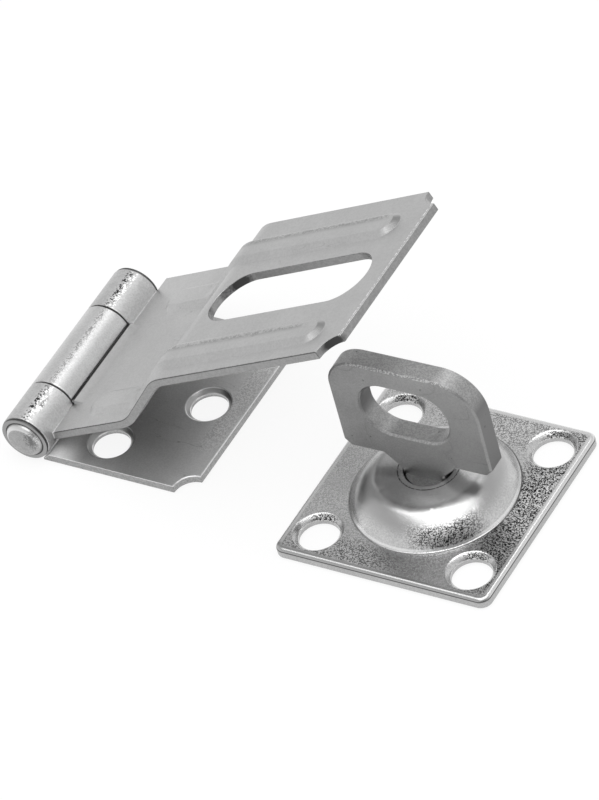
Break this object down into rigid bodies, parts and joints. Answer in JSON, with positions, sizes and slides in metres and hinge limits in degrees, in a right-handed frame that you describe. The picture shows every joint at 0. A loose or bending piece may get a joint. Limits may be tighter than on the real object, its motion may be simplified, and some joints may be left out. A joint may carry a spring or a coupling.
{
  "type": "swivel safety hasp",
  "caption": "Zinc-plated steel swivel safety hasp: hinged slotted arm with a joggle on a screw-on leaf, and a square domed staple plate with a turning padlock eye.",
  "frame": {"origin": "middle of the leaf's pair of screw holes, on the wall face that the leaf and the staple plate lie on", "axes": "+X from the hinge to the arm's free end, +Y along the hinge from its front to its back, +Z away from the wall face"},
  "size_m": [0.097, 0.0485, 0.043],
  "materials": {
    "leaf_zinc": "zinc-plated sheet, dull, grainy",
    "arm_zinc": "zinc-plated sheet, matte light grey",
    "pin_steel": "zinc-plated, smooth",
    "plate_zinc": "zinc-plated sheet with a fine spangle",
    "eye_steel": "darker satin plated steel",
    "washer_steel": "plain plated steel"
  },
  "bodies": {
    "leaf_and_plate": {"hasp_leaf": "leaf_zinc", "hinge_pin": "pin_steel", "staple_plate": "plate_zinc"},
    "arm": {"hasp_arm": "arm_zinc"},
    "eye": {"swivel_eye": "eye_steel", "retaining_washer": "washer_steel"}
  },
  "joints": [
    {"name": "arm_hinge", "type": "hinge", "parent": "leaf_and_plate", "child": "arm", "pos_m": [-0.01262, 0, 0.0045], "axis": [0, -1, 0], "range_deg": [-6.4, 149.6]},
    {"name": "eye_swivel", "type": "hinge", "parent": "leaf_and_plate", "child": "eye", "pos_m": [0.05969, -0.00648, 0.006], "axis": [0, 0, 1], "continuous": true}
  ]
}
